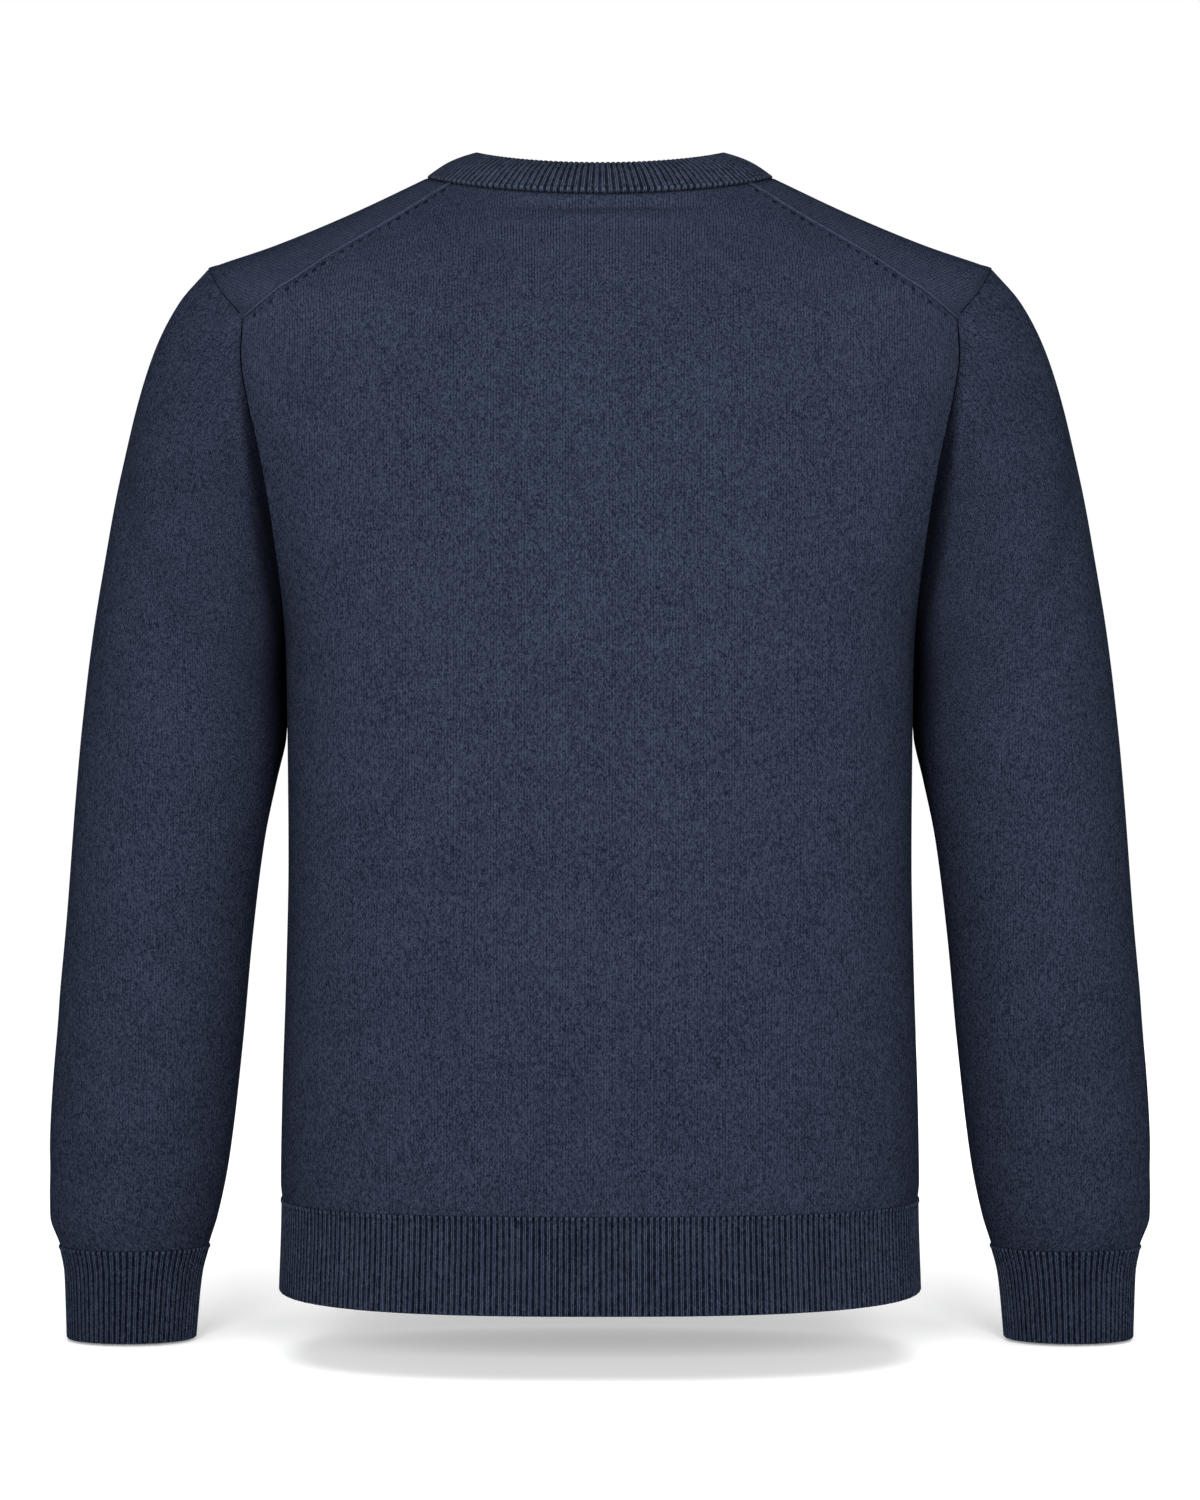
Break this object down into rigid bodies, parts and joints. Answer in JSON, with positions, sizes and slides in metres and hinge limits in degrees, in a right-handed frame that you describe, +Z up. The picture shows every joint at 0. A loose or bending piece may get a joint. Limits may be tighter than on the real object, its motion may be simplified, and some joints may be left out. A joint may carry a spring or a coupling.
{
  "type": "crew-neck cardigan",
  "caption": "Fine-knit crew-neck cardigan with long set-in sleeves, ribbed neckband, cuffs and hem, and a buttoned front, filled out as if worn",
  "frame": {"origin": "The middle of the neck, level with the two points where the shoulder line runs into the neckband. It is the held point worn_on_shoulders.", "axes": "+X is the wearer's left. -Y is the front, with the buttons. +Z is up."},
  "size_m": [0.6716, 0.2567, 0.7198],
  "materials": {
    "knit": "fine plain knit, soft and slightly heathered",
    "rib": "fine ribbed knit in the same yarn",
    "button": "polished"
  },
  "bodies": {
    "root": {"back_panel": "knit", "left_front": "knit", "right_front": "knit", "left_sleeve": "knit", "right_sleeve": "knit", "back_hem": "rib", "left_front_hem": "rib", "right_front_hem": "rib", "left_cuff": "rib", "right_cuff": "rib", "neckband": "rib", "buttonhole_band": "rib", "button_band": "rib", "button_1": "button", "button_2": "button", "button_3": "button", "button_4": "button", "button_5": "button", "button_6": "button", "button_7": "button"}
  },
  "joints": []
}
